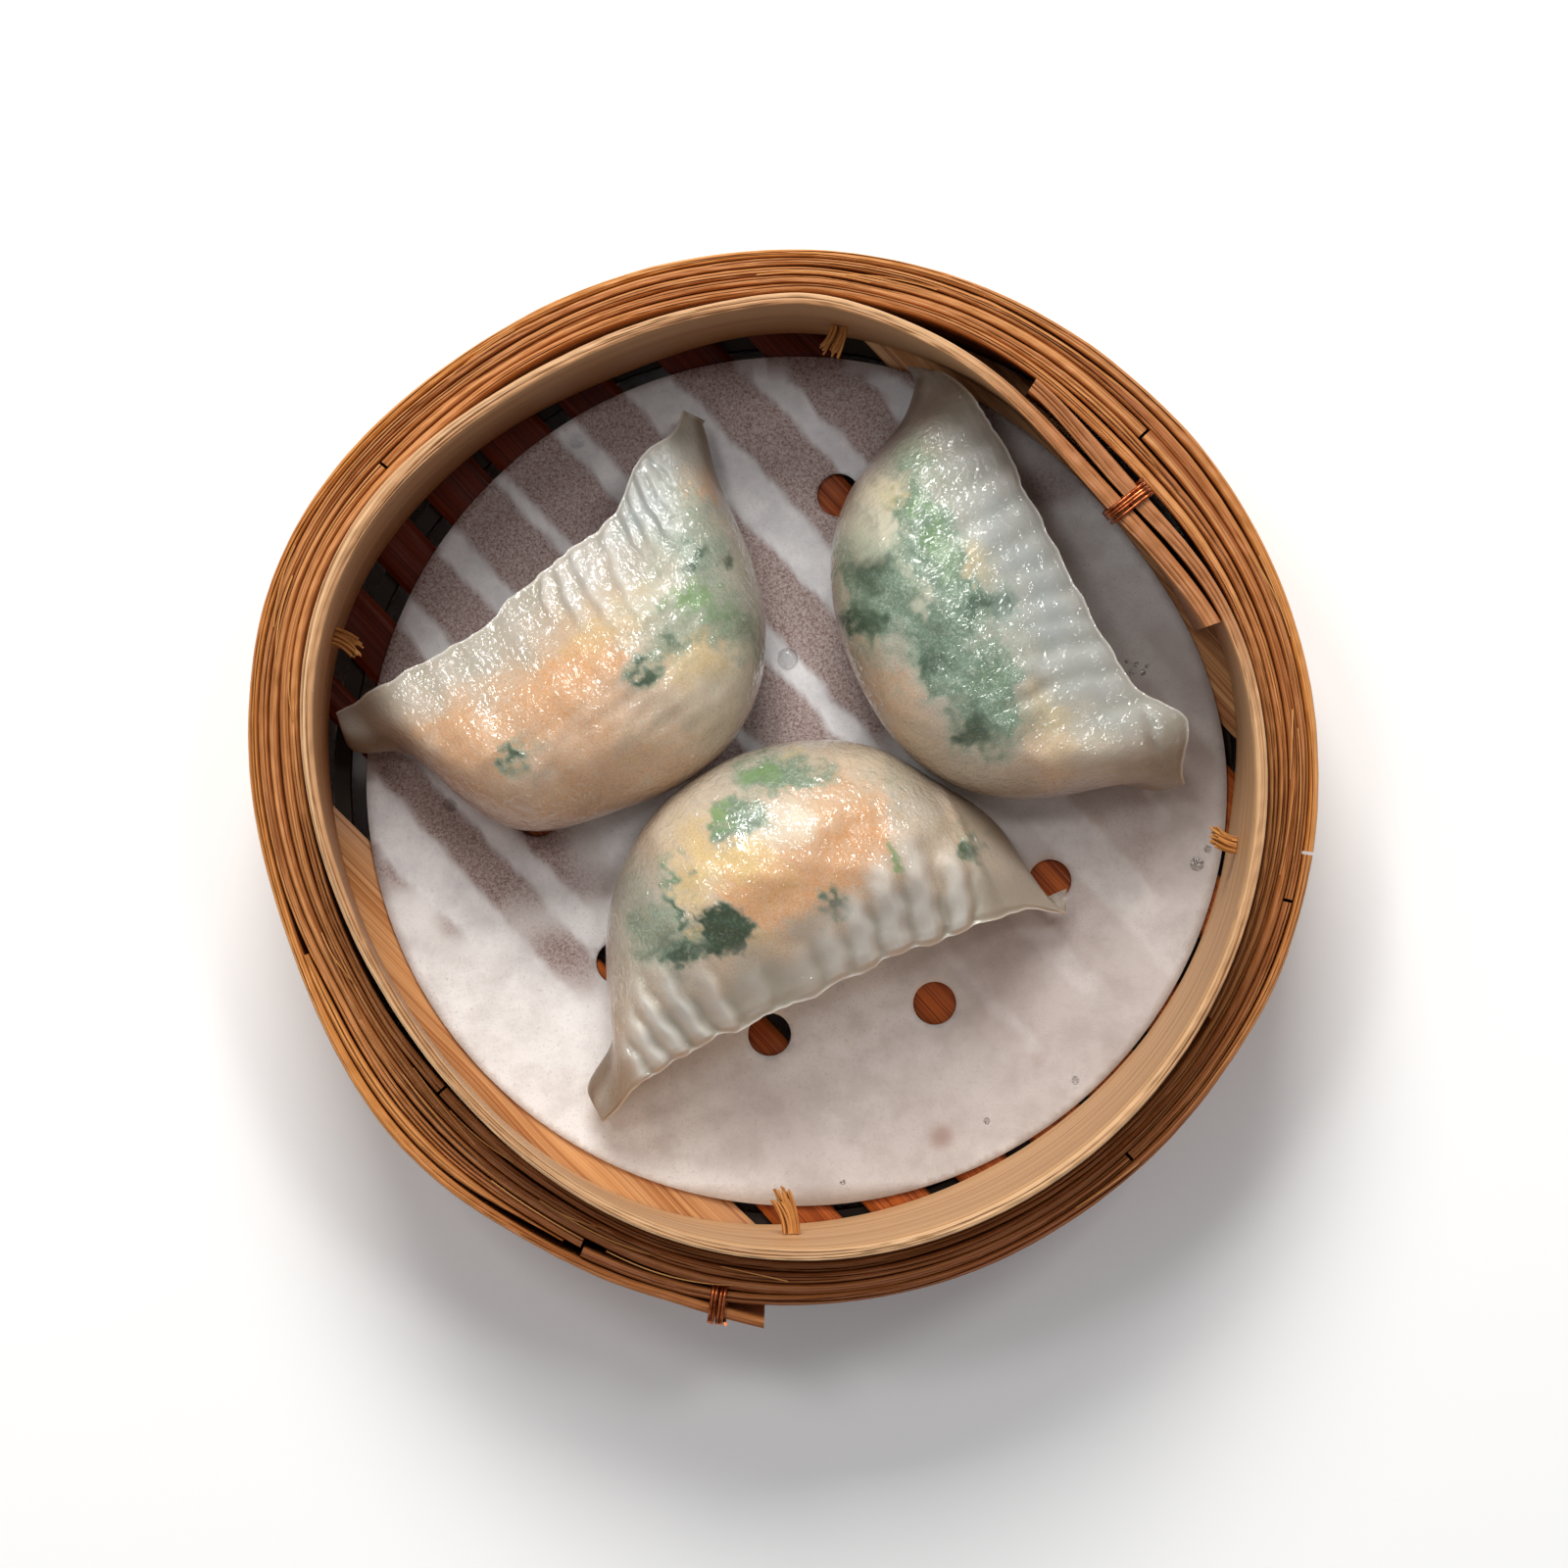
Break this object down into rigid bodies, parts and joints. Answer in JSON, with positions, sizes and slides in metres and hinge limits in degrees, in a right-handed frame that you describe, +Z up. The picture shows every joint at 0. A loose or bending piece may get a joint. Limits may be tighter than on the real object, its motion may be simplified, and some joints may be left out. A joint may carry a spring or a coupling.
{
  "type": "prawn and chive dumplings in a small bamboo steamer basket",
  "caption": "Translucent pleated prawn and chive dumplings on a punched paper liner, in a round wound-bamboo steamer basket with an inner hoop, slatted floor and wire bindings.",
  "frame": {"origin": "centre of the bounding box on the surface the basket stands on", "axes": "+Z up, out of the open top of the basket; +Y is the top of the picture"},
  "size_m": [0.1526, 0.154, 0.0509],
  "materials": {
    "dumpling_skin": "wet translucent rice-starch skin",
    "liner_paper": "thin damp paper",
    "wrap_bamboo": "aged split bamboo",
    "hoop_bamboo": "satin bamboo",
    "slat_bamboo_wet": "wet dark bamboo",
    "slat_bamboo_pale": "dry bamboo",
    "lash_bamboo": "frayed bamboo fibre",
    "copper_wire": "tarnished copper"
  },
  "bodies": {
    "root": {"dumpling_1": "dumpling_skin", "dumpling_2": "dumpling_skin", "dumpling_3": "dumpling_skin", "liner": "liner_paper", "hoop": "hoop_bamboo", "wrap_1": "wrap_bamboo", "wrap_2": "wrap_bamboo", "wrap_3": "wrap_bamboo", "wrap_4": "wrap_bamboo", "wrap_5": "wrap_bamboo", "wrap_6": "wrap_bamboo", "wrap_7": "wrap_bamboo", "wrap_8": "wrap_bamboo", "wrap_patch": "wrap_bamboo", "slat_1": "slat_bamboo_pale", "slat_2": "slat_bamboo_wet", "slat_3": "slat_bamboo_wet", "slat_4": "slat_bamboo_wet", "slat_5": "slat_bamboo_wet", "slat_6": "slat_bamboo_wet", "slat_7": "slat_bamboo_wet", "slat_8": "slat_bamboo_wet", "slat_9": "slat_bamboo_wet", "slat_10": "slat_bamboo_pale", "support_ring": "slat_bamboo_wet", "lash_1": "lash_bamboo", "lash_2": "lash_bamboo", "lash_3": "lash_bamboo", "lash_4": "lash_bamboo", "wire_1": "copper_wire", "wire_2": "copper_wire"}
  },
  "joints": []
}
